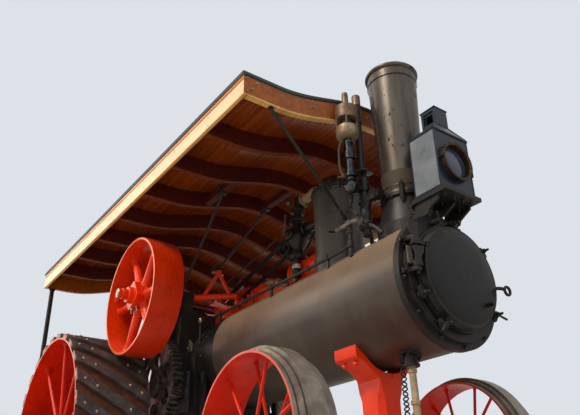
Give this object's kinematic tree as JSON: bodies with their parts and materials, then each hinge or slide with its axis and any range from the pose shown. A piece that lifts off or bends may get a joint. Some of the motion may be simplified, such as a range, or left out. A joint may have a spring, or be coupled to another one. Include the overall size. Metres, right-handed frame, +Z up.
{
  "type": "steam traction engine",
  "caption": "Steam traction engine with horizontal boiler, flywheel, gear drive, lugged rear wheels, steered front axle and a full-length curved canopy.",
  "frame": {"origin": "on the ground under the middle of the engine", "axes": "+X forward to the smokebox, +Y to the engine's left, +Z up"},
  "size_m": [5.218, 2.524, 3.084],
  "materials": {
    "black_iron": "satin black paint on iron, worn",
    "lagging": "satin grey-brown sheet, dusty and dented",
    "dome_grey": "dark grey enamel",
    "chimney_steel": "weathered dark steel with rust spots",
    "orange_red": "orange-red gloss paint",
    "wheel_red": "red gloss paint",
    "gear_iron": "oily cast iron",
    "bright_steel": "turned steel",
    "bronze": "worn bronze",
    "lamp_steel": "blue-black sheet metal",
    "wood": "varnished pine, orange-brown",
    "roof_sheet": "dark roofing sheet"
  },
  "bodies": {
    "engine": {"boiler_barrel": "lagging", "smokebox": "black_iron", "firebox": "black_iron", "ash_pan": "gear_iron", "steam_dome": "dome_grey", "chimney_base": "black_iron", "chimney": "chimney_steel", "headlamp_bracket": "black_iron", "headlamp": "lamp_steel", "whistle": "bronze", "steam_pipe": "bronze", "governor": "black_iron", "safety_valve": "black_iron", "front_saddle": "orange_red", "engine_frame": "orange_red", "steam_cylinder": "orange_red", "crosshead": "bright_steel", "connecting_rod": "bright_steel", "gear_bracket": "black_iron", "rear_frame": "black_iron", "platform": "gear_iron", "coal_bunker": "black_iron", "water_tank": "black_iron", "drawbar": "black_iron", "steering_gear": "black_iron", "canopy_roof": "roof_sheet", "canopy_fascia": "wood", "canopy_ribs": "wood", "canopy_posts": "black_iron", "canopy_stays": "black_iron", "feed_pipe": "black_iron", "exhaust_pipe": "black_iron", "controls": "black_iron"},
    "smokebox_door": {"smokebox_door": "black_iron"},
    "fire_door": {"fire_door": "gear_iron"},
    "crank": {"crankshaft": "bright_steel", "flywheel": "orange_red"},
    "clutch_pinion": {"clutch_pinion": "gear_iron"},
    "upper_gear": {"upper_gear": "gear_iron"},
    "lower_gear": {"lower_gear": "gear_iron"},
    "drive_gear": {"drive_gear": "gear_iron"},
    "rear_left": {"rear_axle": "gear_iron", "rear_wheel_left": "wheel_red"},
    "rear_right": {"rear_wheel_right": "wheel_red"},
    "front_axle": {"front_axle": "orange_red"},
    "front_left": {"front_wheel_left": "wheel_red"},
    "front_right": {"front_wheel_right": "wheel_red"}
  },
  "joints": [
    {"name": "steering", "type": "hinge", "parent": "engine", "child": "front_axle", "pos_m": [1.757, 0, 0.521], "axis": [0, 0, 1], "range_deg": [-25, 25]},
    {"name": "front_left_roll", "type": "hinge", "parent": "front_axle", "child": "front_left", "pos_m": [1.697, 0.85, 0.521], "axis": [0, 1, 0], "continuous": true},
    {"name": "front_right_roll", "type": "hinge", "parent": "front_axle", "child": "front_right", "pos_m": [1.697, -0.85, 0.521], "axis": [0, 1, 0], "continuous": true},
    {"name": "rear_left_roll", "type": "hinge", "parent": "engine", "child": "rear_left", "pos_m": [-1.169, 0.931, 0.878], "axis": [0, 1, 0], "continuous": true},
    {"name": "rear_right_roll", "type": "hinge", "parent": "engine", "child": "rear_right", "pos_m": [-1.169, -0.931, 0.878], "axis": [0, 1, 0], "continuous": true},
    {"name": "drive_gear_turn", "type": "hinge", "parent": "engine", "child": "drive_gear", "pos_m": [-1.169, -0.571, 0.878], "axis": [0, 1, 0], "continuous": true},
    {"name": "lower_gear_turn", "type": "hinge", "parent": "engine", "child": "lower_gear", "pos_m": [-0.31581, -0.571, 1.21408], "axis": [0, 1, 0], "continuous": true},
    {"name": "upper_gear_turn", "type": "hinge", "parent": "engine", "child": "upper_gear", "pos_m": [-0.47631, -0.571, 1.75059], "axis": [0, 1, 0], "continuous": true},
    {"name": "clutch_pinion_turn", "type": "hinge", "parent": "engine", "child": "clutch_pinion", "pos_m": [-0.214, -0.571, 1.925], "axis": [0, 1, 0], "continuous": true},
    {"name": "flywheel_turn", "type": "hinge", "parent": "engine", "child": "crank", "pos_m": [-0.214, -0.805, 1.925], "axis": [0, 1, 0], "continuous": true},
    {"name": "smokebox_door_swing", "type": "hinge", "parent": "engine", "child": "smokebox_door", "pos_m": [2.486, -0.346, 1.475], "axis": [0, 0, 1], "range_deg": [-110, 0]},
    {"name": "fire_door_swing", "type": "hinge", "parent": "engine", "child": "fire_door", "pos_m": [-0.945, 0.189, 1.18], "axis": [0, 0, 1], "range_deg": [-100, 0]}
  ],
  "couplings": [
    {"joint": "lower_gear_turn", "follows": "drive_gear_turn", "ratio": -1.4717},
    {"joint": "upper_gear_turn", "follows": "drive_gear_turn", "ratio": 2.8889},
    {"joint": "clutch_pinion_turn", "follows": "drive_gear_turn", "ratio": -4.3333}
  ]
}
